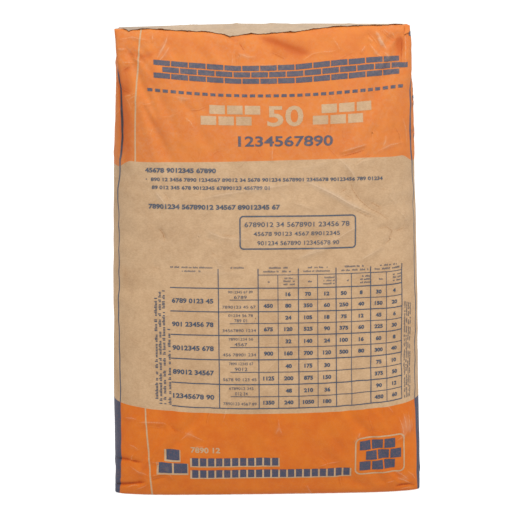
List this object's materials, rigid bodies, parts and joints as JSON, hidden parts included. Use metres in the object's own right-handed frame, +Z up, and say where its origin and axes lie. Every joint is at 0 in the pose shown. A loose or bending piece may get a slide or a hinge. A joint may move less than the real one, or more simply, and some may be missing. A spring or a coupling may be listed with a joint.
{
  "type": "cement bag",
  "caption": "Filled paper cement sack standing on its flat folded end, with a pale strip pasted over each end and orange printed bands at its top and bottom.",
  "frame": {"origin": "on the floor under the middle of the standing sack's box", "axes": "+Z up through the standing sack, the printed front faces -Y, +X to the right seen from the front"},
  "size_m": [0.4215, 0.157, 0.64],
  "materials": {
    "kraft_paper": "matte brown kraft paper, printed in flat orange and navy, creased and dusted with cement",
    "cover_paper": "matte pale unprinted kraft paper"
  },
  "bodies": {
    "root": {"sack": "kraft_paper", "top_strip": "cover_paper", "bottom_strip": "cover_paper"}
  },
  "joints": []
}
